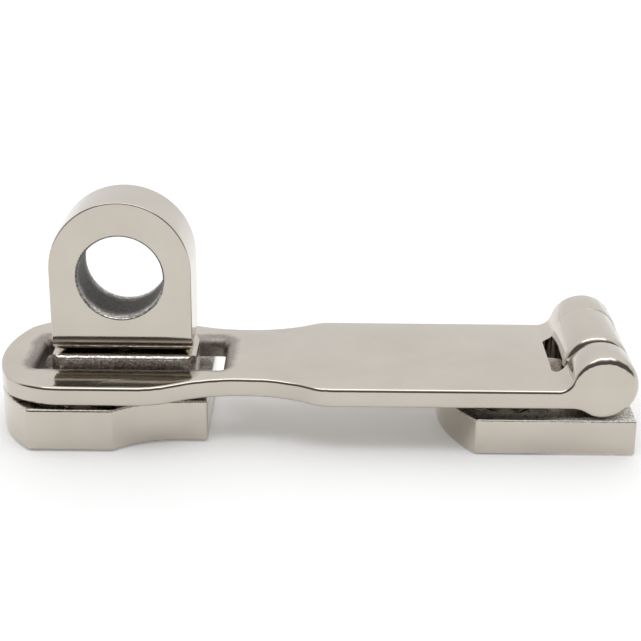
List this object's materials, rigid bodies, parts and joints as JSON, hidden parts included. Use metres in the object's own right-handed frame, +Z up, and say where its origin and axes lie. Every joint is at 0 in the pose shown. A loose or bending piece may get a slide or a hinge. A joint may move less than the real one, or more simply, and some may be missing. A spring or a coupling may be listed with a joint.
{
  "type": "hasp and staple",
  "caption": "Cast swivel-eye hasp and staple: hinged slotted arm on a screw-down leaf closes over a turning padlock eye on a fixed base.",
  "frame": {"origin": "centre of the closed hasp's footprint, on the mounting face", "axes": "+X along the arm towards the hinge, +Y across it, +Z up out of the mounting face"},
  "size_m": [0.0976, 0.029, 0.0363],
  "materials": {
    "cast_steel": "mirror-polished investment-cast stainless steel with as-cast areas",
    "turned_steel": "turned stainless steel"
  },
  "bodies": {
    "fixed": {"hinge_leaf": "cast_steel", "staple_base": "cast_steel", "spring_washer": "turned_steel"},
    "arm": {"hasp_arm": "cast_steel", "hinge_pin": "turned_steel"},
    "eye": {"swivel_eye": "cast_steel", "flat_washer": "turned_steel", "pivot_bolt": "turned_steel"}
  },
  "joints": [
    {"name": "arm_hinge", "type": "hinge", "parent": "fixed", "child": "arm", "pos_m": [0.0438, 0, 0.0109], "axis": [0, 1, 0], "range_deg": [0, 185]},
    {"name": "eye_swivel", "type": "hinge", "parent": "fixed", "child": "eye", "pos_m": [-0.0294, 0, 0], "axis": [0, 0, 1], "continuous": true}
  ]
}
